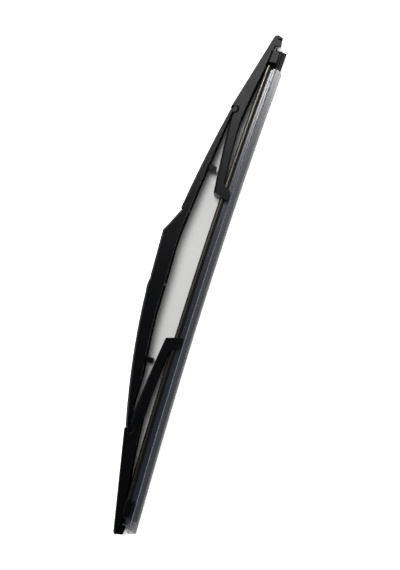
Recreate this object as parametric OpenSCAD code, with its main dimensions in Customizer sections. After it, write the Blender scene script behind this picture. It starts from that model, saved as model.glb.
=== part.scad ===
// Rear-window wiper blade with a moulded frame, lying on its side.
// X runs along the blade, Y from the wiping lip up to the back of the bridge,
// Z across the blade. Heights are first measured from the rubber's back at the
// blade's middle, and the whole blade is then moved to rest on z = 0.

/* [Rubber] */
// Length of the wiping rubber
rubber_len = 300; // [284:2:316]
// Radius of the bow that the rubber and its strips take when nothing presses them
bow_r = 3600; // [2600:100:6000]
// Height of the rubber from its back to its wiping edge
rubber_h = 9.5; // [9:0.1:10]
// Height of the head that the claws hold
head_h = 2.9; // [2.8:0.1:3.2]
// Width of the head
head_w = 6.6; // [6.2:0.1:7]
// Width of the neck between the claw lips
neck_w = 2.6; // [2:0.1:3]
// Width of the shoulder under the claw lips
shoulder_w = 3.8; // [3.4:0.1:4]
// Thickness of the wiping edge
edge_w = 0.7; // [0.5:0.1:0.9]

/* [Flexor strips] */
// Thickness of a steel strip
strip_t = 0.9; // [0.7:0.05:1]
// Width of a steel strip
strip_w = 3.1; // [2.8:0.1:3.1]
// Distance from the rubber's end to a strip's end
strip_inset = 1.2; // [0.5:0.1:3]
// Thickness of rubber between the two strips
strip_core = 1.8; // [1.6:0.1:2]

/* [Lip guard] */
// Width of the folded guard
guard_w = 4.9; // [4.7:0.1:5]
// Wall of the guard
guard_wall = 0.4; // [0.3:0.05:0.45]
// Depth of the guard's edges below the rubber's back
guard_top = 3.4; // [3.2:0.1:3.8]
// Distance that the fold hangs below the wiping edge
guard_hang = 1.3; // [1:0.1:2]
// Distance that the guard stands out past the left end of the rubber
guard_over = 6.8; // [4:0.1:7.4]
// Gap between the guard's right end and the right outer claw
guard_gap = 1.2; // [0.5:0.1:4]
// Length of the corner clipped off the guard's left end
guard_clip_run = 3.6; // [2:0.2:5]

/* [Levers] */
// Distance from the blade's middle to a lever's pivot
pivot_x = 102.2; // [98:0.2:106]
// Height of the pivots
pivot_y = 8.4; // [8:0.1:9]
// Width of a lever
lever_w = 11.6; // [11.4:0.1:12.4]
// Wall of a lever
lever_wall = 1.3; // [1.1:0.05:1.4]
// Thickness of a lever's back
lever_back = 1.8; // [1.4:0.1:2.2]
// Depth of a lever under its pivot
lever_depth = 6; // [5.4:0.1:6.4]
// Length that a lever's tip reaches past the rubber
tip_reach = 8.4; // [7:0.2:10]
// Height of the tip above the rubber's back
tip_rise = 1.4; // [1:0.1:2]
// Length of the hook that covers the rubber's end
hook_len = 6.4; // [5.4:0.1:6.8]
// Thickness of the hook's end wall
end_wall = 2.6; // [2:0.1:3]
// Distance that the hook hangs below the rubber's back
hook_drop = 3.9; // [3:0.1:5]

/* [Claws] */
// Distance from the rubber's end to the middle of an outer claw
outer_claw_in = 7.5; // [7:0.1:9]
// Length of an outer claw
outer_claw_len = 8.6; // [7.6:0.1:9]
// Width over the pads of an outer claw
claw_w = 13.2; // [12.8:0.1:13.6]
// Distance from the blade's middle to the middle of an inner claw
inner_claw_x = 46.7; // [44:0.1:50]
// Length of an inner claw
inner_claw_len = 5.8; // [5:0.1:6.5]
// Lean of an inner claw from its foot to its top
inner_claw_lean = 2.8; // [2:0.1:4]
// Height of the inner arm's end above the rubber's back
inner_rise = 4.6; // [4:0.1:5.4]
// Depth of the claws below the rubber's back
claw_drop = 5.2; // [4.8:0.1:5.6]
// Running gap between a claw and what it holds
claw_gap = 0.3; // [0.2:0.05:0.4]

/* [Bridge] */
// Width over the cheeks
cheek_w = 13.2; // [12.6:0.1:14]
// Width of the right arm beside the cheeks
arm_w = 11.4; // [11:0.1:12]
// Width of an arm at its knuckle
arm_end_w = 10.4; // [9.6:0.1:11]
// Wall of the bridge
bridge_wall = 1.6; // [1.3:0.1:2]
// Thickness of the bridge's back
bridge_back = 1.8; // [1.4:0.1:2.2]
// Radius of the knuckles
knuckle_r = 2; // [1.8:0.05:2.1]
// Running clearance round a knuckle
knuckle_gap = 0.06; // [0.04:0.01:0.08]
// Place of the left end of the pocket for the wiper arm
pocket_left = -15.8; // [-20:0.2:-12]
// Place of the right end of the pocket for the wiper arm
pocket_right = 30.8; // [29:0.2:34]
// Place of the cheeks' peak
peak_x = 15; // [12:0.5:18]
// Height of the cheeks' peak
peak_y = 26.7; // [25.5:0.1:28]
// Height of the bridge's underside below the pocket
under_y = 16.35; // [15.6:0.05:17]
// Swell of the left arm's back over a straight line
left_swell = 3.5; // [2.8:0.1:4.2]
// Swell of the right arm's back over a straight line
right_swell = 1.4; // [1:0.1:2]
// Distance from the pocket to the foot of the slant that ends the cheeks on the right
cheek_run = 11.2; // [10:0.2:12.4]
// Distance from the pocket to the place where the left arm starts to narrow
taper_run = 8.4; // [7:0.2:10]
// Radius of the pin that the wiper arm grips
arm_pin_r = 2.4; // [2:0.1:3]
// Place of the arm pin along the blade
arm_pin_x = 8; // [5:0.5:10]
// Height of the arm pin
arm_pin_y = 20.8; // [20:0.1:21.6]
// Distance from the blade's middle to a stop post
post_x = 62; // [58:0.5:66]
// Thickness of a stop post along the blade
post_t = 2.8; // [2:0.1:3.4]
// Width of a stop post
post_w = 5; // [4:0.2:6]
// Free gap between a stop post and its lever
post_gap = 1.7; // [1.5:0.1:2.4]

/* [Ribs] */
// Thickness of the cross ribs in the bridge and the levers
rib_t = 1; // [0.8:0.1:1.4]
// Distance between the cross ribs
rib_pitch = 13; // [11:0.5:18]
// Distance that the cross ribs stop short of the walls' free edges
rib_short = 0.9; // [0.6:0.1:1.2]

/* [Hidden] */
plastic = "#202226";
steel = "#b9bcc0";
rubber = "#33352f";
smoke = "#6c7486";
far = 400;

rubber_end = rubber_len / 2;
tip_x = rubber_end + tip_reach;
claw_x = rubber_end - outer_claw_in;
guard_right = claw_x - outer_claw_len / 2 - guard_gap;
guard_left = -rubber_end - guard_over;
guard_low = rubber_h + guard_hang;

// Height of the rubber's back at a distance x from the blade's middle
function back_y(x) = sqrt(bow_r * bow_r - x * x) - bow_r;

// Point of a flat arch from a to b, pulled to height c over its middle
function arch_at(a, c, b, t) = [
    a.x + (b.x - a.x) * t,
    (1 - t) * (1 - t) * a.y + 2 * t * (1 - t) * c + t * t * b.y
];
function arch(a, c, b, n = 12) = [for (i = [0:n]) arch_at(a, c, b, i / n)];
// Height of that arch at x
function arch_y(a, c, b, x) = arch_at(a, c, b, (x - a.x) / (b.x - a.x)).y;
function drop(points, d) = [for (p = points) [p.x, p.y - d]];

// Lever heights, shared by the levers and the bridge's stop posts
crest = [pivot_x - 5.4, pivot_y + 0.4];
arm_top = [inner_claw_x - inner_claw_len / 2 + inner_claw_lean, back_y(inner_claw_x) + inner_rise];
arm_pull = (crest.y + arm_top.y) / 2 + 0.6;
lever_crown = pivot_y - lever_depth;

// Bridge heights
arm_x = pivot_x - 1.3;
arm_back_y = pivot_y + 2.4;
arm_under_y = pivot_y + 0.6;
shelf_left = [pocket_left - 7.7, peak_y - 2];
shelf_right = [pocket_right + 0.4, peak_y - 6.1];
pull_left = (arm_back_y + shelf_left.y) / 2 + left_swell;
pull_right = (arm_back_y + shelf_right.y) / 2 + right_swell;
rest_z = max(cheek_w, claw_w, lever_w) / 2;
low_y = back_y(rubber_end) - guard_low;
mid_y = (peak_y + low_y) / 2;

// Sweeps a section along the rubber's bow, from x = a to x = b.
// In the section, x is the height above the rubber's back and y goes across.
module sweep(a, b) {
    start = acos(b / bow_r);
    translate([0, -bow_r, 0])
        rotate([0, 0, start])
            rotate_extrude(angle = acos(a / bow_r) - start, $fn = 2400)
                translate([bow_r, 0])
                    children();
}

// Whole outline of a section from the points of its positive side
function both_sides(half) = concat(half, [for (i = [len(half) - 1:-1:0]) [half[i].x, -half[i].y]]);

module rubber_section() {
    groove = (head_h - strip_t) / 2;
    shoulder = claw_drop + 0.2;
    hinge = shoulder + 1.1;
    polygon(both_sides([
        [0, 2], [-0.3, 2.4], [-groove + 0.05, 2.4],
        [-groove + 0.05, strip_core / 2], [-groove - strip_t - 0.05, strip_core / 2],
        [-groove - strip_t - 0.05, head_w / 2 - 0.2], [-groove - strip_t - 0.25, head_w / 2],
        [-head_h + 0.2, head_w / 2], [-head_h, head_w / 2 - 0.3],
        [-head_h, neck_w / 2], [-shoulder, neck_w / 2],
        [-shoulder - 0.2, shoulder_w / 2], [-hinge, shoulder_w / 2],
        [-hinge - 0.2, 0.5], [-hinge - 0.6, 0.5],
        [-hinge - 0.8, shoulder_w / 2 - 0.5], [-rubber_h + 0.6, edge_w / 2 + 0.1],
        [-rubber_h, edge_w / 2],
    ]));
}

module wiping_rubber() {
    color(rubber) sweep(-rubber_end, rubber_end) rubber_section();
}

module flexor(side) {
    end = rubber_end - strip_inset;
    color(steel) sweep(-end, end)
        translate([-(head_h + strip_t) / 2, side > 0 ? strip_core / 2 + 0.1 : -strip_core / 2 - 0.1 - strip_w])
            square([strip_t, strip_w]);
}

// Half outline of the folded guard, a distance w inside its outer face
function guard_half(w) = [
    [-guard_top, guard_w / 2 - w],
    [-guard_top - 3.2, guard_w / 2 - w],
    [-guard_low + 0.9 + w / 2, 0.95 - w / 2],
    [-guard_low + 0.25 + w, 0.6 - w],
    [-guard_low + w, 0.3 - w / 2],
];

module guard_section() {
    difference() {
        polygon(both_sides(guard_half(0)));
        polygon(both_sides(concat([[1, guard_w / 2 - guard_wall]], guard_half(guard_wall))));
    }
}

// Corner that is clipped off an end of the guard, at a depth of level below the rubber's back:
// run along the blade by fall across it
module guard_clip(end, level, run, fall) {
    out = end + sign(end) * 2;
    start = [end - run, back_y(end - run) - level];
    corner = [end, back_y(end) - level + fall];
    polygon([start, corner, [out, corner.y], [out, start.y - sign(fall)], [start.x, start.y - sign(fall)]]);
}

module lip_guard() {
    color(smoke) difference() {
        sweep(guard_left, guard_right) guard_section();
        linear_extrude(far, center = true) {
            guard_clip(guard_left, guard_top, -guard_clip_run, -3);
            guard_clip(guard_left, guard_low, -0.8, 3);
            guard_clip(guard_right, guard_top, guard_clip_run / 2, -2.6);
            guard_clip(guard_right, guard_low, guard_clip_run / 2, 2.2);
        }
    }
}

// Side outline of the right lever, clockwise from the tip's upper corner
module lever_outline() {
    tip_y = back_y(tip_x);
    notch_y = tip_y - 0.1;
    claw_low = back_y(claw_x) - claw_drop;
    claw_out = claw_x + outer_claw_len / 2;
    claw_side = claw_x - outer_claw_len / 2;
    foot_low = back_y(inner_claw_x) - claw_drop;
    foot_in = inner_claw_x - inner_claw_len / 2;
    foot_out = inner_claw_x + inner_claw_len / 2;
    lower_a = [claw_side - 4.2, back_y(claw_side) + 0.5];
    lower_b = [pivot_x - 6.2, lever_crown];
    lower_c = [foot_out + 4.9, back_y(inner_claw_x) + 0.3];
    polygon(concat(
        [[tip_x - 1.2, tip_y + tip_rise + 0.25], [tip_x, tip_y + tip_rise - 0.8],
            [tip_x - 1.2, tip_y - hook_drop + 0.4], [tip_x - 1.7, tip_y - hook_drop],
            [tip_x - 1.4 - hook_len, tip_y - hook_drop], [tip_x - 1.4 - hook_len, notch_y],
            [claw_out + 0.6, notch_y], [claw_out - 0.2, claw_low], [claw_side + 0.6, claw_low],
            [claw_side - 0.2, back_y(claw_side) + 0.6]],
        arch(lower_a, 0.72 * lower_b.y - 0.8, lower_b),
        arch(lower_b, lower_b.y, lower_c),
        [[foot_out + 2.4, back_y(inner_claw_x) - 1.1], [foot_out, foot_low],
            [foot_in, foot_low], [foot_in + 0.4, foot_low + 2], [arm_top.x, arm_top.y]],
        arch(arm_top, arm_pull, crest),
        [[pivot_x - 2.3, pivot_y - 0.2], [pivot_x, pivot_y], [pivot_x + 0.6, pivot_y + 2.4]]
    ));
}

// Cross ribs at every rib_pitch from a towards b, cut to the outline that they stand in
module cross_ribs(a, b) {
    step = sign(b - a) * rib_pitch;
    intersection() {
        for (x = [a + step:step:b - step / 3])
            translate([x - rib_t / 2, -far / 2]) square([rib_t, far]);
        translate([0, rib_short]) children();
    }
}

// Space under the lever's back, round the pivot's boss and between the ribs
module lever_hollow() {
    boss = knuckle_r + knuckle_gap + 1.7;
    slope = (pivot_y + 2.4 - back_y(tip_x) - tip_rise) / (tip_x - pivot_x - 0.6);
    in_a = inner_claw_x + 1.8;
    in_b = pivot_x - boss;
    out_a = pivot_x + boss;
    out_b = tip_x - end_wall;
    low = back_y(tip_x) - hook_drop - 2;
    difference() {
        polygon(concat(
            drop([for (p = arch(arm_top, arm_pull, crest)) if (p.x > in_a + 1 && p.x < in_b) p], lever_back),
            [[in_b, crest.y - lever_back - 0.3],
                [out_a, pivot_y + 2.4 - slope * (boss - 0.6) - lever_back],
                [out_b, back_y(tip_x) + tip_rise + end_wall * slope - lever_back], [out_b - 1, low],
                [rubber_end, low], [claw_x + 6, back_y(claw_x) - 1], [out_a + 6, back_y(out_a) - 1],
                [in_b, back_y(pivot_x) - 1], [in_a - 1.6, back_y(inner_claw_x) - 1],
                [in_a, arm_top.y - lever_back]]
        ));
        translate([pivot_x, pivot_y]) circle(boss, $fn = 96);
        cross_ribs(in_b, in_a) lever_outline();
        cross_ribs(out_a, claw_x - outer_claw_len / 2) lever_outline();
    }
}

// Space that the claws leave free round the rubber's head and neck
module claw_slot() {
    head = strip_core / 2 + 0.1 + strip_w + claw_gap;
    lip = max(guard_w, neck_w) / 2 + claw_gap;
    polygon(both_sides([[claw_gap, head], [-head_h - claw_gap, head], [-head_h - claw_gap, lip],
        [-claw_drop - 3, lip]]));
}

module right_lever_body() {
    slope = atan2(pivot_y + 2.4 - back_y(tip_x) - tip_rise, tip_x - pivot_x - 0.6);
    difference() {
        union() {
            linear_extrude(lever_w, center = true) lever_outline();
            linear_extrude(claw_w, center = true) outer_claw_pad();
        }
        linear_extrude(lever_w - 2 * lever_wall, center = true) lever_hollow();
        sweep(inner_claw_x - inner_claw_len, tip_x - 1.4 - hook_len + 0.5) claw_slot();
        translate([pivot_x, pivot_y, 0])
            cylinder(r = knuckle_r + knuckle_gap, h = far, center = true, $fn = 96);
        // Bevels along the straight back
        for (side = [-1, 1])
            translate([tip_x, back_y(tip_x) + tip_rise, side * lever_w / 2])
                rotate([0, 0, -slope])
                    rotate([45, 0, 0])
                        cube([3 * (tip_x - pivot_x), 0.8, 0.8], center = true);
        hook_slot();
        hook_opening();
    }
}

// Raised pad on both faces of an outer claw
module outer_claw_pad() {
    low = back_y(claw_x) - claw_drop;
    polygon([[claw_x - outer_claw_len / 2 + 0.6, low], [claw_x + outer_claw_len / 2 - 0.9, low],
        [claw_x + outer_claw_len / 2 - 0.3, low + 5], [claw_x - outer_claw_len / 2 + 0.1, low + 5.6]]);
}

// Slot that parts the hook's near wall from its end wall
module hook_slot() {
    slot_w = 1;
    slot_h = 2.8;
    foot = back_y(tip_x) - hook_drop;
    translate([tip_x - end_wall - slot_w + 0.1, foot - 1, lever_w / 2 - lever_wall - 0.2])
        cube([slot_w, slot_h + 1, far]);
}

// Opening in the hook's other wall, through which the rubber slides in
module hook_opening() {
    depth = hook_drop + 1;
    translate([rubber_end, back_y(tip_x) - 0.1 - depth, -far - lever_w / 2 + lever_wall + 0.5])
        cube([tip_reach + 1, depth, far]);
}

module right_lever() color(plastic) right_lever_body();
// The same moulding, turned round
module left_lever() color(plastic) rotate([0, 180, 0]) right_lever_body();

// Side outline of the bridge: its back from left to right, then its underside
module bridge_outline() {
    left_waist = [-pivot_x + 32, arm_under_y + 1.8];
    polygon(concat(
        arch([-arm_x, arm_back_y], pull_left, shelf_left),
        [[pocket_left - 5.4, shelf_left.y + 0.4], [pocket_left - 2.7, shelf_left.y + 0.4],
            [pocket_left, shelf_left.y], [pocket_left + 2.4, shelf_left.y + 0.3],
            [peak_x - 1, peak_y - 0.05], [peak_x, peak_y], [peak_x + 0.9, peak_y - 0.5],
            [peak_x + 4.5, peak_y - 2.3], [pocket_right - 0.2, shelf_right.y - 1],
            [pocket_right + 0.3, shelf_right.y - 0.9]],
        arch(shelf_right, pull_right, [arm_x, arm_back_y]),
        [[pivot_x - 0.4, pivot_y + knuckle_r - 0.05], [pivot_x, pivot_y],
            [pivot_x - knuckle_r + 0.1, arm_under_y]],
        arch([arm_x - 0.2, arm_under_y], (arm_under_y + under_y) / 2 + 0.9, [peak_x + 1, under_y]),
        [[peak_x - 8, under_y], [pocket_left + 9.8, under_y - 0.7]],
        arch([pocket_left - 19.2, under_y - 1.6], under_y - 2.9, left_waist),
        [[left_waist.x - 16.4, left_waist.y - 0.4], [-arm_x + 0.2, arm_under_y],
            [-pivot_x + knuckle_r - 0.1, arm_under_y], [-pivot_x, pivot_y],
            [-pivot_x + 0.4, pivot_y + knuckle_r - 0.05]]
    ));
}

// Outline of the bridge seen from its back, a distance w inside its faces.
// Right of x = right it has the width of the right arm.
module bridge_plan(w, right) {
    end = arm_end_w / 2 - w;
    cheek = cheek_w / 2 - w;
    arm = arm_w / 2 - w;
    tip = pivot_x + 5;
    eye = pivot_x - 4;
    left = pocket_left - taper_run;
    rotate([90, 0, 0]) linear_extrude(far, center = true) polygon([
        [-tip, -end], [-eye, -end], [left, -cheek], [right, -cheek], [right, -arm], [eye, -end],
        [tip, -end], [tip, end], [eye, end], [right, arm], [right, cheek], [left, cheek],
        [-eye, end], [-tip, end],
    ]);
}

// Space under the arms' backs, between the ribs
module bridge_hollow() {
    wall = 1.4;
    left_a = -pivot_x + 9;
    left_b = pocket_left - wall;
    right_a = pocket_right + wall;
    right_b = pivot_x - 9;
    difference() {
        union() {
            polygon(concat(
                drop([for (p = arch([-arm_x, arm_back_y], pull_left, shelf_left, 24)) if (p.x > left_a) p],
                    bridge_back),
                [[left_b, shelf_left.y - bridge_back], [left_b, 0], [left_a, 0]]
            ));
            polygon(concat(
                [[right_b, 0], [right_a, 0], [right_a, shelf_right.y - bridge_back]],
                drop([for (p = arch(shelf_right, pull_right, [arm_x, arm_back_y], 24))
                    if (p.x > right_a && p.x < right_b) p], bridge_back)
            ));
        }
        cross_ribs(left_a, left_b) bridge_outline();
        cross_ribs(right_b, right_a) bridge_outline();
    }
}

// Cuts a cheek's right end off along a slant, down to the arm's own width, with a bevelled edge
module cheek_end(side) {
    top = [pocket_right - 0.6, shelf_right.y + 0.4];
    foot = [pocket_right + cheek_run, under_y - 2.6];
    lean = atan2(foot.x - top.x, top.y - foot.y);
    arm = arm_w / 2;
    above = cheek_w / 2 + 1;
    translate([top.x, top.y, 0])
        rotate([0, 0, lean])
            rotate([90, 0, 0])
                linear_extrude(far / 10, center = true)
                    polygon([[0, side * arm], [2 * cheek_run, side * arm],
                        [2 * cheek_run, side * above], [arm - above, side * above]]);
}

module main_bridge() {
    color(plastic) {
        difference() {
            intersection() {
                linear_extrude(cheek_w, center = true) bridge_outline();
                bridge_plan(0, pocket_right + cheek_run);
            }
            intersection() {
                linear_extrude(cheek_w, center = true) bridge_hollow();
                bridge_plan(bridge_wall, pocket_right);
            }
            translate([pocket_left, 0, -cheek_w / 2 + bridge_wall])
                cube([pocket_right - pocket_left, peak_y + 5, cheek_w - 2 * bridge_wall]);
            for (side = [-1, 1]) cheek_end(side);
        }
        for (side = [-1, 1]) translate([side * pivot_x, pivot_y, 0])
            cylinder(r = knuckle_r, h = arm_end_w, center = true, $fn = 96);
        translate([arm_pin_x, arm_pin_y, 0])
            cylinder(r = arm_pin_r, h = cheek_w - bridge_wall, center = true, $fn = 96);
        stop_post(-post_x, [-arm_x, arm_back_y], pull_left, shelf_left);
        stop_post(post_x, shelf_right, pull_right, [arm_x, arm_back_y]);
    }
}

// Peg at x that hangs from the bridge's arched back, and that a lever's inner arm stops against
module stop_post(x, a, pull, b) {
    low = arch_y(arm_top, arm_pull, crest, abs(x)) + post_gap;
    translate([x - post_t / 2, low, -post_w / 2])
        cube([post_t, arch_y(a, pull, b, x) - 1 - low, post_w]);
}

module placed() translate([0, -mid_y, rest_z]) children();

placed() main_bridge();
placed() left_lever();
placed() right_lever();
placed() wiping_rubber();
placed() flexor(1);  // near_flexor
placed() flexor(-1);  // far_flexor
placed() lip_guard();
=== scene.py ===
# %% [markdown]
# # A rear wiper blade, dressed for a product photo
#
# The blade lies on its side on a pale surface. Seven pieces are already there at their real size,
# as plain solids: a bridge, two rocking levers, a rubber, two steel strips and the folded film that
# guards the wiping lip. This lesson gives each of them its finish, and models again those whose
# edges and bends a close look would miss.
#
# The first cell has to load the fixed frame. Everything is in metres, and a piece made here goes
# exactly where its solid is.

# %% Load the frame
import math

import bmesh
import bpy
from mathutils import Matrix, Vector


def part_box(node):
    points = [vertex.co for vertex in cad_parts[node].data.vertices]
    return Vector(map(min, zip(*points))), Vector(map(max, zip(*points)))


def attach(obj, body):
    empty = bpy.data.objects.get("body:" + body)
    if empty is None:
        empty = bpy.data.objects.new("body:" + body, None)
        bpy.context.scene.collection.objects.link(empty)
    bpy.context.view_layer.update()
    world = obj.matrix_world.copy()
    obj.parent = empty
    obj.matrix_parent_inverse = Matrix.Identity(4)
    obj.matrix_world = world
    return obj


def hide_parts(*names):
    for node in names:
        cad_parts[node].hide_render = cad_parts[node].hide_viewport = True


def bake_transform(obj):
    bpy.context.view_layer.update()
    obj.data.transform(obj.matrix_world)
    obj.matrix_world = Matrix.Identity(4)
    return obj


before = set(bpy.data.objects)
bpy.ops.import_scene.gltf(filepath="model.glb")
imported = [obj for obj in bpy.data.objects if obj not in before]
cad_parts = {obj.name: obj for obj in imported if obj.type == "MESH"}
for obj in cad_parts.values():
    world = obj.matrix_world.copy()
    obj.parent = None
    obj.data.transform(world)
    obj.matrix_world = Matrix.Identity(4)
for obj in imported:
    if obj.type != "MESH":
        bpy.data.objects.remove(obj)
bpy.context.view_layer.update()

MM = 0.001

# %% [markdown]
# ## Where things are
#
# The rubber is straight when it is pulled from its packing, but its steel strips are rolled to a
# slight bow, so that the blade presses on a curved window. The bow's radius follows from the
# rubber's own box: how much deeper the box is than the rubber is high.

# %% Measure the bow
RUBBER_HEIGHT = 9.5 * MM
rubber_low, rubber_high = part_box("wiping_rubber")
half_length = rubber_high.x
back_at_middle = rubber_high.y
mid_z = (rubber_low.z + rubber_high.z) / 2
bow_radius = half_length ** 2 / (2 * (rubber_high.y - rubber_low.y - RUBBER_HEIGHT))
print("half of the rubber:", round(half_length, 4), "bow radius:", round(bow_radius, 2))


def bow_angle(x):
    """Angle round the bow's centre, from the blade's middle to a distance x along it."""
    return math.asin(x / bow_radius)


def back_at(x):
    """Height of the rubber's back at a distance x along the blade."""
    return back_at_middle + math.sqrt(bow_radius ** 2 - x ** 2) - bow_radius


# %% [markdown]
# ## Helpers for meshes
#
# A bmesh is Blender's editable mesh. Each helper below does one thing that several pieces need:
# turn a bmesh into an object, and close, tidy and smooth it. Smooth shading with an angle limit
# keeps flat faces flat and lets the rounded edges between them run softly.

# %% Turn a bmesh into an object
def to_object(name, mesh, smooth_deg=30):
    """Makes an object of a bmesh, with its normals outwards and soft shading under an angle."""
    data = bpy.data.meshes.new(name)
    mesh.normal_update()
    for face in mesh.faces:
        face.smooth = True
    for edge in mesh.edges:
        sharp = len(edge.link_faces) == 2 and edge.calc_face_angle() > math.radians(smooth_deg)
        edge.smooth = not sharp
    mesh.to_mesh(data)
    mesh.free()
    made = bpy.data.objects.new(name, data)
    bpy.context.scene.collection.objects.link(made)
    print(name, "has", len(data.polygons), "faces")
    return made


# %% [markdown]
# ## Materials: shared effects first
#
# Three things happen on more than one surface here. Injection-moulded plastic and rubber have a
# fine, even grain. Pulled metal and pushed-out rubber have lines along their length. And everything
# that was handled has slight clouds in its gloss. Each effect is a node group, so that one good
# recipe serves several materials with different values.

# %% Small helpers for node trees
def node_of(tree, kind, place, **settings):
    """Adds a node of one kind and sets its properties, or its sockets where a key is a socket."""
    made = tree.nodes.new(kind)
    made.location = place
    for key, value in settings.items():
        if hasattr(made, key):
            setattr(made, key, value)
        else:
            made.inputs[key.replace("_", " ")].default_value = value
    return made


def new_group(name, inputs, outputs):
    """Starts a node group with named inputs (with their values) and outputs."""
    tree = bpy.data.node_groups.new(name, "ShaderNodeTree")
    for label, kind, value in inputs:
        socket = tree.interface.new_socket(name=label, in_out="INPUT", socket_type=kind)
        socket.default_value = value
    for label, kind in outputs:
        tree.interface.new_socket(name=label, in_out="OUTPUT", socket_type=kind)
    return tree, tree.nodes.new("NodeGroupInput"), tree.nodes.new("NodeGroupOutput")


# %% [markdown]
# ### Grain
#
# Tool makers etch or spark-erode a mould so that the plastic comes out with a fine grain, which
# hides flow marks. Two sizes of noise give that unevenness: a fine one, whose size each finish sets
# for itself, and wide clouds of about fifteen millimetres. The group puts out a height for a Bump
# node, and a mask that shifts the colour and the roughness a little.

# %% Group: moulded grain
CLOUDS_PER_METRE = 70.0


def grain_group():
    """Fine grain and wide clouds, as a height and a mask."""
    tree, given, out = new_group(
        "moulded_grain",
        [("Size", "NodeSocketFloat", 0.3 * MM), ("Clouds", "NodeSocketFloat", 0.5)],
        [("Height", "NodeSocketFloat"), ("Mask", "NodeSocketFloat")],
    )
    links = tree.links
    coords = node_of(tree, "ShaderNodeTexCoord", (-900, 0))
    per_metre = node_of(tree, "ShaderNodeMath", (-900, -250), operation="DIVIDE")
    per_metre.inputs[0].default_value = 1.0
    links.new(given.outputs["Size"], per_metre.inputs[1])
    fine = node_of(tree, "ShaderNodeTexNoise", (-600, 100), Detail=3.0, Roughness=0.6)
    wide = node_of(tree, "ShaderNodeTexNoise", (-600, -200), Scale=CLOUDS_PER_METRE, Detail=4.0,
                   Roughness=0.55)
    links.new(coords.outputs["Object"], fine.inputs["Vector"])
    links.new(coords.outputs["Object"], wide.inputs["Vector"])
    links.new(per_metre.outputs[0], fine.inputs["Scale"])
    mix = node_of(tree, "ShaderNodeMix", (-300, -100), data_type="FLOAT")
    links.new(given.outputs["Clouds"], mix.inputs["Factor"])
    links.new(fine.outputs["Fac"], mix.inputs[2])
    links.new(wide.outputs["Fac"], mix.inputs[3])
    links.new(fine.outputs["Fac"], out.inputs["Height"])
    links.new(mix.outputs[0], out.inputs["Mask"])
    return tree


# %% [markdown]
# ### Lines along the length
#
# Steel strip is drawn through rollers, and rubber is pushed through a die. Both leave long fine
# lines. Noise that is squeezed across the blade and stretched along it draws such lines: a Mapping
# node scales the coordinates before the noise sees them.

# %% Group: drawn lines
LINE_CONTRAST = {"From Min": 0.3, "From Max": 0.7}


def lines_group():
    """Long fine lines along the blade, as a height and a mask."""
    tree, given, out = new_group(
        "drawn_lines",
        [("Spacing", "NodeSocketFloat", 0.2 * MM), ("Stretch", "NodeSocketFloat", 60.0)],
        [("Height", "NodeSocketFloat"), ("Mask", "NodeSocketFloat")],
    )
    links = tree.links
    coords = node_of(tree, "ShaderNodeTexCoord", (-1100, 0))
    across = node_of(tree, "ShaderNodeMath", (-1100, -250), operation="DIVIDE")
    across.inputs[0].default_value = 1.0
    along = node_of(tree, "ShaderNodeMath", (-900, -300), operation="DIVIDE")
    links.new(given.outputs["Spacing"], across.inputs[1])
    links.new(across.outputs[0], along.inputs[0])
    links.new(given.outputs["Stretch"], along.inputs[1])
    scales = node_of(tree, "ShaderNodeCombineXYZ", (-700, -250))
    links.new(along.outputs[0], scales.inputs["X"])
    links.new(across.outputs[0], scales.inputs["Y"])
    links.new(across.outputs[0], scales.inputs["Z"])
    mapping = node_of(tree, "ShaderNodeMapping", (-500, 0))
    links.new(coords.outputs["Object"], mapping.inputs["Vector"])
    links.new(scales.outputs[0], mapping.inputs["Scale"])
    noise = node_of(tree, "ShaderNodeTexNoise", (-300, 0), Scale=1.0, Detail=4.0, Roughness=0.65)
    links.new(mapping.outputs[0], noise.inputs["Vector"])
    soft = node_of(tree, "ShaderNodeMapRange", (-100, -150))
    for socket, value in LINE_CONTRAST.items():
        soft.inputs[socket].default_value = value
    links.new(noise.outputs["Fac"], soft.inputs["Value"])
    links.new(noise.outputs["Fac"], out.inputs["Height"])
    links.new(soft.outputs[0], out.inputs["Mask"])
    return tree


# %% [markdown]
# ### Tone
#
# No real surface is one flat colour. This group moves between two colours with a mask, and gives
# the roughness that goes with each, so that a cloud in the colour is also a cloud in the gloss.

# %% Group: two tones
def tone_group():
    """A colour and a roughness that move together between two values."""
    tree, given, out = new_group(
        "two_tones",
        [
            ("Mask", "NodeSocketFloat", 0.5),
            ("Dark", "NodeSocketColor", (0.02, 0.02, 0.02, 1)),
            ("Light", "NodeSocketColor", (0.03, 0.03, 0.03, 1)),
            ("Smooth", "NodeSocketFloat", 0.4),
            ("Rough", "NodeSocketFloat", 0.5),
        ],
        [("Color", "NodeSocketColor"), ("Roughness", "NodeSocketFloat")],
    )
    links = tree.links
    colour = node_of(tree, "ShaderNodeMix", (-200, 100), data_type="RGBA")
    gloss = node_of(tree, "ShaderNodeMix", (-200, -150), data_type="FLOAT")
    for mix in (colour, gloss):
        links.new(given.outputs["Mask"], mix.inputs["Factor"])
    links.new(given.outputs["Dark"], colour.inputs[6])
    links.new(given.outputs["Light"], colour.inputs[7])
    links.new(given.outputs["Smooth"], gloss.inputs[2])
    links.new(given.outputs["Rough"], gloss.inputs[3])
    links.new(colour.outputs[2], out.inputs["Color"])
    links.new(gloss.outputs[0], out.inputs["Roughness"])
    return tree


GRAIN = grain_group()
LINES = lines_group()
TONES = tone_group()
print("shared effects:", [group.name for group in (GRAIN, LINES, TONES)])


# %% [markdown]
# ## Materials: one function for what they share
#
# Every finish on this blade is one Principled shader, fed by one of the textures above for its
# colour, roughness and bump. What is the same all over a surface, such as its gloss layer or how
# strongly it reflects, is set on the shader's own sockets.

# %% Build a material from a texture group
BUMP_STRENGTH = 0.6


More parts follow.
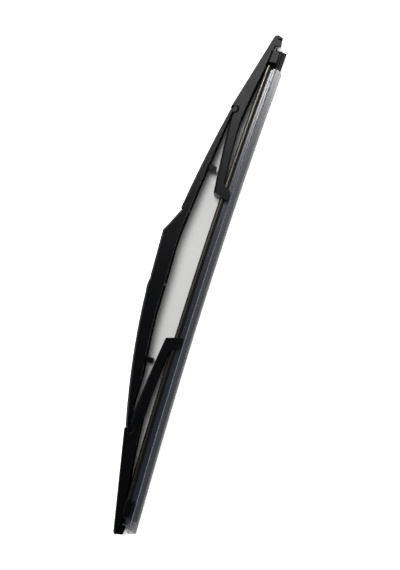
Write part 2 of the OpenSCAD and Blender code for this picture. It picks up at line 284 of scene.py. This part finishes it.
def finish(name, texture, texture_values, dark, light, smooth, rough, bump, **constants):
    """A Principled material whose colour, roughness and bump follow a texture group."""
    material = bpy.data.materials.new(name)
    material.use_nodes = True
    tree = material.node_tree
    shader = tree.nodes["Principled BSDF"]
    source = node_of(tree, "ShaderNodeGroup", (-900, 0), node_tree=texture)
    for key, value in texture_values.items():
        source.inputs[key].default_value = value
    tones = node_of(tree, "ShaderNodeGroup", (-600, 100), node_tree=TONES)
    tones.inputs["Dark"].default_value = (*dark, 1)
    tones.inputs["Light"].default_value = (*light, 1)
    tones.inputs["Smooth"].default_value = smooth
    tones.inputs["Rough"].default_value = rough
    relief = node_of(tree, "ShaderNodeBump", (-600, -250), Strength=BUMP_STRENGTH, Distance=bump)
    links = tree.links
    links.new(source.outputs["Mask"], tones.inputs["Mask"])
    links.new(source.outputs["Height"], relief.inputs["Height"])
    links.new(tones.outputs["Color"], shader.inputs["Base Color"])
    links.new(tones.outputs["Roughness"], shader.inputs["Roughness"])
    links.new(relief.outputs["Normal"], shader.inputs["Normal"])
    for key, value in constants.items():
        shader.inputs[key.replace("_", " ")].default_value = value
    return material


# %% [markdown]
# ### Black plastic
#
# The bridge and the levers are glass-filled black plastic with a satin grain. Black plastic has
# almost no colour of its own: what the eye sees is a weak, wide reflection of the room. So the base
# is nearly black and slightly blue, the specular level is low, and the roughness is high enough to
# spread a small lamp over a whole lever.

# %% Black plastic
black_plastic = finish(
    "black_plastic", GRAIN, {"Size": 0.22 * MM, "Clouds": 0.55},
    dark=(0.0010, 0.0012, 0.0018), light=(0.0020, 0.0023, 0.0030), smooth=0.34, rough=0.42,
    bump=0.03 * MM, Specular_IOR_Level=0.16,
)
print("finish:", black_plastic.name)

# %% [markdown]
# ### Rubber
#
# The rubber is black too, but duller and slightly olive, with the bloom that wax and dust leave on
# it. Its lines run along its length, because it was pushed through a die.

# %% Rubber finish
wiping_rubber = finish(
    "wiping_rubber", LINES, {"Spacing": 0.35 * MM, "Stretch": 80.0},
    dark=(0.0018, 0.0018, 0.0014), light=(0.0060, 0.0056, 0.0044), smooth=0.40, rough=0.60,
    bump=0.02 * MM, Specular_IOR_Level=0.2,
)
print("finish:", wiping_rubber.name)

# %% [markdown]
# ### Spring steel
#
# The two strips are rolled spring steel. A metal has no diffuse colour, so its base colour tints
# the reflection instead, and fine lines along the strip spread the lamp into a long streak.

# %% Steel finish
spring_steel = finish(
    "spring_steel", LINES, {"Spacing": 0.12 * MM, "Stretch": 150.0},
    dark=(0.09, 0.086, 0.070), light=(0.20, 0.19, 0.16), smooth=0.28, rough=0.45,
    bump=0.01 * MM, Metallic=1.0,
)
print("finish:", spring_steel.name)

# %% [markdown]
# ### Smoky film
#
# The guard is thin clear film with a smoky blue tint. It covers a part of what is behind it, and
# the rest shows through: that share is the shader's alpha. A film this thin does not bend light, and
# transmission would only make the render grainy. Along the crease the film is painted whitish and
# nearly opaque: a painted highlight for the line of light that the crease catches. Its wall has two
# faces, and its tint would count twice, so the inner face is left almost clear.

# %% Film finishes
FILM_CLOUDS = {"Size": 3 * MM, "Clouds": 0.8}
FILM_BUMP = 0.0002 * MM
smoky_film = finish(
    "smoky_film", GRAIN, FILM_CLOUDS,
    dark=(0.026, 0.032, 0.046), light=(0.036, 0.043, 0.062), smooth=0.27, rough=0.33,
    bump=FILM_BUMP, Alpha=0.6, IOR=2.0,
)
# Painted highlight: a whitish, nearly opaque film for the crease's line of light.
crease_highlight_film = finish(
    "crease_highlight_film", GRAIN, FILM_CLOUDS,
    dark=(0.17, 0.18, 0.22), light=(0.22, 0.23, 0.28), smooth=0.30, rough=0.40,
    bump=FILM_BUMP, Alpha=0.9,
)
film_inside = finish(
    "film_inside", GRAIN, FILM_CLOUDS,
    dark=(0.036, 0.040, 0.052), light=(0.046, 0.051, 0.066), smooth=0.30, rough=0.40,
    bump=FILM_BUMP, Alpha=0.05,
)
print("finishes:", [film.name for film in (smoky_film, crease_highlight_film, film_inside)])


# %% [markdown]
# ## Dressing the solids
#
# Each solid gets its finish at once, also those that a finer piece will stand for later, so that
# nothing on the blade is ever left plain.

# %% Give every solid its finish
def dress(piece, material):
    """Puts one material on a piece."""
    piece.data.materials.clear()
    piece.data.materials.append(material)


for node in ("main_bridge", "left_lever", "right_lever"):
    dress(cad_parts[node], black_plastic)
dress(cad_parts["wiping_rubber"], wiping_rubber)
for node in ("near_flexor", "far_flexor"):
    dress(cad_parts[node], spring_steel)
dress(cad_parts["lip_guard"], smoky_film)
print("dressed solids:", ", ".join(sorted(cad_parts)))


# %% [markdown]
# ## Rounded mouldings
#
# No moulded edge is truly sharp, and the thin line that light or shadow draws along an edge is what
# makes plastic look real. The bridge and the levers keep their solids' exact shape: a copy is
# welded, its flat triangles are joined into whole faces, and its edges are bevelled. The outer edges
# along the back, which a hand or a brush meets, have a broad chamfer. They are found by the way that
# their faces look, and are bevelled first, with a single segment. All sharp edges that are left get
# a small round in a second pass.

# %% Find the edges along the back
SHARP_DEG = 60
OUTER_WALL = 5.0 * MM
FACES_OUT, FACES_BACK = 0.9, 0.4


def edge_angle(edge):
    """Angle between an edge's two faces in degrees, or zero where it has not got two."""
    return math.degrees(edge.calc_face_angle()) if len(edge.link_faces) == 2 else 0.0


def is_back_edge(edge):
    """Whether an edge lies between an outer side and the back of a moulding."""
    if edge_angle(edge) < SHARP_DEG or min(abs(v.co.z - mid_z) for v in edge.verts) < OUTER_WALL:
        return False
    side = math.copysign(1, edge.verts[0].co.z - mid_z)
    normals = [face.normal for face in edge.link_faces]
    return max(side * n.z for n in normals) > FACES_OUT and max(n.y for n in normals) > FACES_BACK


def round_edges(mesh, edges, radius, segments, clamp=True):
    """Bevels some edges to a radius."""
    bmesh.ops.bevel(
        mesh, geom=edges, offset=radius, offset_type="OFFSET", segments=segments, profile=0.5,
        affect="EDGES", clamp_overlap=clamp, material=-1,
    )


# %% Copy the three mouldings with rounded edges
WELD = 0.004 * MM
FLAT_DEG = 0.5
BACK_CHAMFER, CHAMFER_SEGMENTS = 1.2 * MM, 1
EDGE_ROUND, ROUND_SEGMENTS = 0.18 * MM, 2


def moulding(node, name, body):
    """A copy of a plastic solid with soft edges, which stands for it."""
    mesh = bmesh.new()
    mesh.from_mesh(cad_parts[node].data)
    bmesh.ops.remove_doubles(mesh, verts=mesh.verts, dist=WELD)
    flat = math.radians(FLAT_DEG)
    bmesh.ops.dissolve_limit(mesh, angle_limit=flat, verts=mesh.verts, edges=mesh.edges)
    mesh.normal_update()
    backs = [edge for edge in mesh.edges if is_back_edge(edge)]
    print(name, "has", len(backs), "edges along its back")
    round_edges(mesh, backs, BACK_CHAMFER, CHAMFER_SEGMENTS, clamp=False)
    mesh.normal_update()
    sharp = [edge for edge in mesh.edges if edge_angle(edge) > SHARP_DEG]
    round_edges(mesh, sharp, EDGE_ROUND, ROUND_SEGMENTS)
    made = to_object(name, mesh, smooth_deg=20)
    dress(made, black_plastic)
    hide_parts(node)
    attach(made, body)


moulding("main_bridge", "bridge_moulding", "bridge")
moulding("left_lever", "left_lever_moulding", "left_lever")
moulding("right_lever", "right_lever_moulding", "right_lever")


# %% [markdown]
# ## The long pieces
#
# The rubber, the strips and the guard all have one cross-section over their whole length, so each
# is a flat outline spun round the centre of the bow. Each is made in two halves, one on each side of
# the blade's middle.
#
# An outline is a list of corners, each a height below the rubber's back and a distance from the
# middle plane, on one side. The other side is its mirror image.

# %% Spin an outline along the bow
STEP = 4 * MM
bow_centre = Vector((0, back_at_middle - bow_radius, mid_z))


def close_holes(mesh):
    """Closes the open ends of a piece and turns its faces outwards."""
    rims = [edge for edge in mesh.edges if edge.is_boundary]
    if rims:
        bmesh.ops.holes_fill(mesh, edges=rims, sides=0)
    bmesh.ops.recalc_face_normals(mesh, faces=mesh.faces)


def spun(corners, end, round_off):
    """Spins a closed outline of (height, across) corners along the bow, from the middle to an end."""
    mesh = bmesh.new()
    verts = [mesh.verts.new((0, back_at_middle + height, mid_z + across)) for height, across in corners]
    mesh.faces.new(verts)
    if round_off:
        bmesh.ops.bevel(
            mesh, geom=verts, offset=round_off, offset_type="OFFSET", segments=2, profile=0.5,
            affect="VERTICES", clamp_overlap=True, material=-1,
        )
    bmesh.ops.spin(
        mesh, geom=mesh.faces[:] + mesh.edges[:] + mesh.verts[:], cent=bow_centre, axis=(0, 0, 1),
        angle=-bow_angle(end), steps=round(abs(end) / STEP), use_merge=False, use_duplicate=False,
    )
    close_holes(mesh)
    return mesh


def mirrored(half):
    """The whole outline of a cross-section from the corners of its positive side, in metres."""
    scaled = [(height * MM, across * MM) for height, across in half]
    return scaled + [(height, -across) for height, across in reversed(scaled)]


# %% Make a long piece in two halves
def halves(name, corners, ends, material, node, round_off=0.0, trim=None, smooth_deg=40):
    """The left and right half of a long piece."""
    made_halves = []
    for side, word, end in ((-1, "left", ends[0]), (1, "right", ends[1])):
        mesh = spun(corners, end, round_off)
        if trim:
            trim(mesh, side, end)
        made = to_object(f"{name}_{word}", mesh, smooth_deg)
        dress(made, material)
        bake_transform(made)
        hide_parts(node)
        made_halves.append(made)
    return made_halves


# %% [markdown]
# ### Rubber
#
# A wiper rubber is pushed through a die, so its shape is all in this outline: a head with a groove
# on each side for a steel strip, a neck that the claws' lips close in on, a shoulder, a thin hinge
# that lets the lip flip over at each end of its stroke, and the tapered lip itself. Its corners are
# rounded a little, as rubber's are.

# %% Rubber
CROWN_WIDE, CROWN_DEEP, CROWN_FOOT_WIDE = 4.0, 0.3, 4.8
GROOVE_TOP, GROOVE_FOOT, CORE_WIDE = 0.95, 1.95, 1.8
HEAD_DEEP, HEAD_WIDE, HEAD_UNDERCUT = 2.9, 6.6, 0.3
NECK_DEEP, NECK_WIDE = 5.4, 2.6
SHOULDER_DEEP, SHOULDER_WIDE = 6.5, 3.8
HINGE_DEEP, HINGE_WIDE = 7.1, 1.0
LIP_TOP_WIDE, LIP_DEEP, LIP_WIDE = 2.8, 9.5, 0.7
LIP_EDGE_HIGH, LIP_TAPER = 0.6, 0.1
SLANT = 0.2
RUBBER_ROUND = 0.06 * MM

head_half = [
    (0, CROWN_WIDE / 2), (-CROWN_DEEP, CROWN_FOOT_WIDE / 2), (-GROOVE_TOP, CROWN_FOOT_WIDE / 2),
    (-GROOVE_TOP, CORE_WIDE / 2), (-GROOVE_FOOT, CORE_WIDE / 2),
    (-GROOVE_FOOT, HEAD_WIDE / 2 - SLANT), (-GROOVE_FOOT - SLANT, HEAD_WIDE / 2),
    (-HEAD_DEEP + SLANT, HEAD_WIDE / 2), (-HEAD_DEEP, HEAD_WIDE / 2 - HEAD_UNDERCUT),
]
body_half = [
    (-HEAD_DEEP, NECK_WIDE / 2), (-NECK_DEEP, NECK_WIDE / 2),
    (-NECK_DEEP - SLANT, SHOULDER_WIDE / 2), (-SHOULDER_DEEP, SHOULDER_WIDE / 2),
    (-SHOULDER_DEEP - SLANT, HINGE_WIDE / 2), (-HINGE_DEEP, HINGE_WIDE / 2),
]
lip_half = [
    (-HINGE_DEEP - SLANT, LIP_TOP_WIDE / 2),
    (-LIP_DEEP + LIP_EDGE_HIGH, LIP_WIDE / 2 + LIP_TAPER), (-LIP_DEEP, LIP_WIDE / 2),
]
rubber_half = head_half + body_half + lip_half
halves(
    "rubber", mirrored(rubber_half), (-half_length, half_length), wiping_rubber,
    "wiping_rubber", round_off=RUBBER_ROUND,
)

# %% [markdown]
# ### Steel strips
#
# Each strip is a flat bar in the rubber's groove. Its width and its place across the blade come
# from its solid's own box. Its corners are rolled, so they are rounded by a sixth of its thickness,
# and catch the thin streak of light that runs along the rubber's head.

# %% Steel strips
STRIP_TOP, STRIP_THICK = 1.0, 0.9
STRIP_ROUND = STRIP_THICK / 6 * MM

for node in ("near_flexor", "far_flexor"):
    low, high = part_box(node)
    sides = ((low.z - mid_z) / MM, (high.z - mid_z) / MM)
    depths = (-STRIP_TOP, -STRIP_TOP - STRIP_THICK)
    strip_corners = [
        (depths[0] * MM, sides[0] * MM), (depths[0] * MM, sides[1] * MM),
        (depths[1] * MM, sides[1] * MM), (depths[1] * MM, sides[0] * MM),
    ]
    halves(
        node.replace("flexor", "strip"), strip_corners, (low.x, high.x), spring_steel,
        node, round_off=STRIP_ROUND,
    )

# %% [markdown]
# ### Lip guard
#
# The guard is a strip of film folded to a narrow V round the lip, and its upright sides stand under
# the claws. It is an open outline with a wall, so the outline runs down the outside, round the fold
# and back up the inside. Thin film is never quite flat: the upright sides have shallow waves, which
# draw long lines of light, and the crease below them stands out as a bead. The ends are clipped at
# the corners, so that the guard threads between the claws: a plane cuts each corner off, and the cut
# is closed again.

# %% Cut a corner off a piece's end
ON_PLANE = 0.0001 * MM


def clip_corner(mesh, side, end, depth, along, down):
    """Cuts a corner off, from a point `along` short of the end to one `down` under a depth on it."""
    start_x = end - side * along
    start = Vector((start_x, back_at(start_x) - depth, mid_z))
    stop = Vector((end, back_at(end) - depth - down, mid_z))
    outwards = (stop - start).cross(Vector((0, 0, 1)))
    if outwards.x * side < 0:
        outwards.negate()
    bmesh.ops.bisect_plane(
        mesh, geom=mesh.faces[:] + mesh.edges[:] + mesh.verts[:], dist=ON_PLANE, plane_co=start,
        plane_no=outwards, clear_outer=True, clear_inner=False,
    )
    close_holes(mesh)


# %% Outline of the lip guard
GUARD_WIDE, GUARD_WALL = 4.9, 0.4
GUARD_TOP, GUARD_CREASE, GUARD_FOOT = 3.4, 6.6, 10.8
WAVE, WAVE_DEPTHS = 0.03, (4.0, 4.7, 5.2, 5.9, 6.3)
BEAD, BEAD_HIGH, BEAD_FOOT = 0.16, 0.12, 0.25
FOLD_OUTSIDE = ((1.1, 0.95), (0.25, 0.6), (0, 0.3))
FOLD_INSIDE = ((1.3, 0.75), (0.65, 0.2))
half_wide = GUARD_WIDE / 2

waves = [
    (-depth, half_wide + (WAVE if count % 2 else -WAVE)) for count, depth in enumerate(WAVE_DEPTHS)
]
bead = [
    (-GUARD_CREASE + BEAD_HIGH / 2, half_wide + BEAD),
    (-GUARD_CREASE - BEAD_HIGH / 2, half_wide + BEAD),
    (-GUARD_CREASE - BEAD_FOOT, half_wide - 2 * WAVE),
]


def fold(corners):
    """Corners of the V's foot, from each one's height above it and its distance from the middle."""
    return [(-GUARD_FOOT + height, across) for height, across in corners]


outside = [(-GUARD_TOP, half_wide)] + waves + bead + fold(FOLD_OUTSIDE)
inner_sides = [(-depth, half_wide - GUARD_WALL) for depth in (GUARD_TOP, GUARD_CREASE)]
inside = inner_sides + fold(FOLD_INSIDE)
guard_corners = mirrored(outside) + list(reversed(mirrored(inside)))
print("corners of the guard's outline:", len(guard_corners))

# %% Lip guard
LEFT_CLIPS = ((3.6, 3.0), (0.8, -3.0))
RIGHT_CLIPS = ((1.8, 2.6), (1.8, -2.2))
FILM_ROUND = 0.1 * MM
guard_low, guard_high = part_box("lip_guard")


def clip_guard(mesh, side, end):
    """Clips the upper and the lower corner of one end of the guard, each along and down."""
    clips = LEFT_CLIPS if side < 0 else RIGHT_CLIPS
    for depth, (along, down) in zip((GUARD_TOP, GUARD_FOOT), clips):
        clip_corner(mesh, side, end, depth * MM, along * MM, down * MM)


guard_halves = halves(
    "guard", guard_corners, (guard_low.x, guard_high.x), smoky_film, "lip_guard",
    round_off=FILM_ROUND, trim=clip_guard, smooth_deg=5,
)

# %% [markdown]
# ### The guard's crease and inside
#
# Each face of a mesh has the number of the material that it wears, so one piece can have several
# finishes. The faces that look at the blade's middle plane get the almost clear one, and those of
# the bead get the whitish one, which is a painted highlight along the crease.

# %% Give the guard's faces their finishes
CREASE_REACH = 0.3 * MM
CREASE_HIGHLIGHT, INSIDE = 1, 2

for half in guard_halves:
    half.data.materials.append(crease_highlight_film)
    half.data.materials.append(film_inside)
    for face in half.data.polygons:
        across = face.center.z - mid_z
        depth = bow_radius - (Vector((face.center.x, face.center.y, mid_z)) - bow_centre).length
        if face.normal.z * across < 0:
            face.material_index = INSIDE
        # Painted highlight: the bead's faces at the crease wear the whitish film.
        if abs(depth - GUARD_CREASE * MM) < CREASE_REACH and abs(across) > half_wide * MM:
            face.material_index = CREASE_HIGHLIGHT
    creased = [face for face in half.data.polygons if face.material_index == CREASE_HIGHLIGHT]
    print(half.name, "has", len(creased), "creased faces")

# %% [markdown]
# ## Floor
#
# The blade lies on a seamless white surface. A plain diffuse floor under soft lamps comes out a
# little grey, so the floor adds a glow of its own for rays that look at it, straight or in a
# reflection or through the film. The glow lights nothing. Between the bridge and the rubber the
# floor is shut in, and the glow is held back there. The shade there is partly real, from the lamps,
# and partly painted shade, because the mask takes away the glow that the open floor gets. Two
# Ambient Occlusion nodes find such places: one looks along the floor to each side of the blade, and
# the more open side counts.

# %% Floor
FLOOR_SIZE = 3.0
floor_mesh = bmesh.new()
bmesh.ops.create_grid(floor_mesh, x_segments=1, y_segments=1, size=FLOOR_SIZE)
floor = to_object("floor", floor_mesh)


# %% Masks for the floor's glow
OPEN_SIDE = 40 * MM
OPEN_FROM, OPEN_TO = 0.9, 1.0
SIDE_SAMPLES = 16
LOOKS_UP = 0.2


def looked_at(tree, place):
    """Is 1 for rays that look at a surface: from the camera, in a reflection or through the film."""
    rays = node_of(tree, "ShaderNodeLightPath", place)
    first = node_of(tree, "ShaderNodeMath", (place[0] + 200, place[1]), operation="MAXIMUM")
    both = node_of(tree, "ShaderNodeMath", (place[0] + 400, place[1]), operation="MAXIMUM")
    tree.links.new(rays.outputs["Is Camera Ray"], first.inputs[0])
    tree.links.new(rays.outputs["Is Glossy Ray"], first.inputs[1])
    tree.links.new(first.outputs[0], both.inputs[0])
    tree.links.new(rays.outputs["Is Transmission Ray"], both.inputs[1])
    return both.outputs[0]


def open_side(tree, place):
    """Is 1 where the floor sees open space to a side of the blade, and less between its parts."""
    x, y = place
    sides = node_of(tree, "ShaderNodeMath", (x + 200, y), operation="MAXIMUM")
    for count, way_y in enumerate((-1.0, 1.0)):
        row = y - 200 * count
        seen = node_of(tree, "ShaderNodeAmbientOcclusion", (x, row), samples=SIDE_SAMPLES)
        seen.inputs["Distance"].default_value = OPEN_SIDE
        way = node_of(tree, "ShaderNodeCombineXYZ", (x - 200, row), Y=way_y, Z=LOOKS_UP)
        tree.links.new(way.outputs[0], seen.inputs["Normal"])
        tree.links.new(seen.outputs["AO"], sides.inputs[count])
    ramp = node_of(tree, "ShaderNodeMapRange", (x + 400, y), interpolation_type="SMOOTHSTEP")
    ramp.inputs["From Min"].default_value = OPEN_FROM
    ramp.inputs["From Max"].default_value = OPEN_TO
    tree.links.new(sides.outputs[0], ramp.inputs["Value"])
    return ramp.outputs[0]


# %% Paper
FLOOR_GLOW = 1.0
PAPER = {
    "Base Color": (0.82, 0.82, 0.80, 1), "Roughness": 0.9, "Specular IOR Level": 0.1,
    "Emission Color": (1, 1, 1, 1),
}
paper = bpy.data.materials.new("white_paper")
paper.use_nodes = True
paper_shader = paper.node_tree.nodes["Principled BSDF"]
for socket, value in PAPER.items():
    paper_shader.inputs[socket].default_value = value
tree = paper.node_tree
glow = node_of(tree, "ShaderNodeMath", (-200, -300), operation="MULTIPLY")
glow.inputs[1].default_value = FLOOR_GLOW
# Painted shade: the glow is scaled by the open-side mask, so the floor between the blade's parts is
# darker.
masked = node_of(tree, "ShaderNodeMath", (-400, -300), operation="MULTIPLY")
tree.links.new(looked_at(tree, (-1100, -300)), masked.inputs[0])
tree.links.new(open_side(tree, (-1100, -600)), masked.inputs[1])
tree.links.new(masked.outputs[0], glow.inputs[0])
tree.links.new(glow.outputs[0], paper_shader.inputs["Emission Strength"])
floor.data.materials.append(paper)
print("floor glows by", FLOOR_GLOW)

# %% [markdown]
# ## World
#
# A photo studio is white at the level of the table and dark under the ceiling. Black plastic shows
# that at once: with a white sky over it, it would look grey. So rays that look at the world see
# white near the horizon, which darkens smoothly to a nearly black ceiling. The darkest place leans
# a little towards the blade's left end, which is its darker end. Everything else gets an even soft
# light.

# %% World
SOFT_LIGHT = 0.2
HORIZON, CEILING = 1.0, 0.02
DARKEST_WAY = Vector((-0.35, 0.0, 1.0)).normalized()
DARKENS_FROM, DARKENS_TO = 0.4, 0.92
world = bpy.data.worlds.new("studio")
bpy.context.scene.world = world
world.use_nodes = True
sky = world.node_tree
direction = node_of(sky, "ShaderNodeTexCoord", (-900, -200))
towards_dark = node_of(sky, "ShaderNodeVectorMath", (-700, -200), operation="DOT_PRODUCT")
towards_dark.inputs[1].default_value = DARKEST_WAY
sky.links.new(direction.outputs["Generated"], towards_dark.inputs[0])
backdrop = node_of(sky, "ShaderNodeMapRange", (-500, -200), interpolation_type="SMOOTHSTEP")
backdrop.inputs["From Min"].default_value = DARKENS_FROM
backdrop.inputs["From Max"].default_value = DARKENS_TO
backdrop.inputs["To Min"].default_value = HORIZON
backdrop.inputs["To Max"].default_value = CEILING
sky.links.new(towards_dark.outputs["Value"], backdrop.inputs["Value"])
strength = node_of(sky, "ShaderNodeMix", (-200, 0), data_type="FLOAT")
strength.inputs[2].default_value = SOFT_LIGHT
sky.links.new(looked_at(sky, (-900, 200)), strength.inputs["Factor"])
sky.links.new(backdrop.outputs[0], strength.inputs[3])
sky.nodes["Background"].inputs["Color"].default_value = (1, 1, 1, 1)
sky.links.new(strength.outputs[0], sky.nodes["Background"].inputs["Strength"])
print("ceiling:", CEILING, "soft light:", SOFT_LIGHT)

# %% [markdown]
# ## Lamps
#
# Each of the three lamps does one thing. The side lamp lights the floor, and lets the bridge throw
# a soft shadow towards the rubber. The end lamp hangs past the blade's right end, where the levers
# and the film mirror it as a broad sheen that fades along the blade, and the low lamp does the same
# for the guard's slope. These two show in reflections only, and the side lamp shows in none. They
# are small, because a rough surface spreads a small lamp into a calm sheen, where a large one would
# leave grain in the film.

# %% Make a lamp
def soft_lamp(name, place, size, power):
    """A square lamp that looks at the blade's middle."""
    light = bpy.data.lights.new(name, "AREA")
    light.shape = "SQUARE"
    light.size = size
    light.energy = power
    lamp = bpy.data.objects.new(name, light)
    bpy.context.scene.collection.objects.link(lamp)
    lamp.location = place
    lamp.rotation_euler = (-place).to_track_quat("-Z", "Y").to_euler()
    print(name, "at", [round(v, 2) for v in place])
    return lamp


# %% Three lamps
SHEEN_SIZE, SIDE_SIZE = 0.08, 0.45
END_POWER, LOW_POWER, SIDE_POWER = 5.6, 3.5, 8.5

end_lamp = soft_lamp("end_lamp", Vector((0.66, 0.14, 1.08)), SHEEN_SIZE, END_POWER)
end_lamp.visible_diffuse = False
low_lamp = soft_lamp("low_lamp", Vector((0.70, -0.79, 0.72)), SHEEN_SIZE, LOW_POWER)
low_lamp.visible_diffuse = False
side_lamp = soft_lamp("side_lamp", Vector((0.20, 0.27, 1.05)), SIDE_SIZE, SIDE_POWER)
side_lamp.visible_glossy = False

# %% [markdown]
# ## Camera
#
# The photo was taken from a hand's height, nearly straight down, and it shows the blade standing
# on its left end and leaning a little. The place, the lens and the lean were found by matching the
# blade's own corners. The lens's axis does not pass through the photo's middle, so the camera is
# shifted by that much.

# %% Camera
PHOTO_WIDE, PHOTO_HIGH = 400, 570
FOCAL_PX = 559.7
AXIS_PX = (192.0, 226.0)
CAMERA_PLACE = Vector((-30.1, -35.4, 348.6)) * MM
CAMERA_AIM = Vector((23.0, 4.6, 6.6)) * MM
LEAN = math.radians(18.37)
NEAREST = 10 * MM

lens = bpy.data.cameras.new("camera")
lens.lens = FOCAL_PX * lens.sensor_width / PHOTO_HIGH
lens.shift_x = (PHOTO_WIDE / 2 - AXIS_PX[0]) / PHOTO_HIGH
lens.shift_y = (AXIS_PX[1] - PHOTO_HIGH / 2) / PHOTO_HIGH
lens.clip_start = NEAREST
camera = bpy.data.objects.new("camera", lens)
bpy.context.scene.collection.objects.link(camera)
back = (CAMERA_PLACE - CAMERA_AIM).normalized()
along_blade = Vector((1, 0, 0)) - back * back.x
up = Matrix.Rotation(LEAN, 3, back) @ along_blade.normalized()
turned = Matrix((up.cross(back), up, back)).transposed().to_4x4()
camera.matrix_world = Matrix.Translation(CAMERA_PLACE) @ turned
bpy.context.scene.camera = camera
print("lens:", round(lens.lens, 1), "mm, lean:", round(math.degrees(LEAN), 1), "degrees")

# %% [markdown]
# ## View
#
# The last cell sets Blender's Standard view transform.

# %% Set the view
bpy.context.scene.view_settings.view_transform = "Standard"
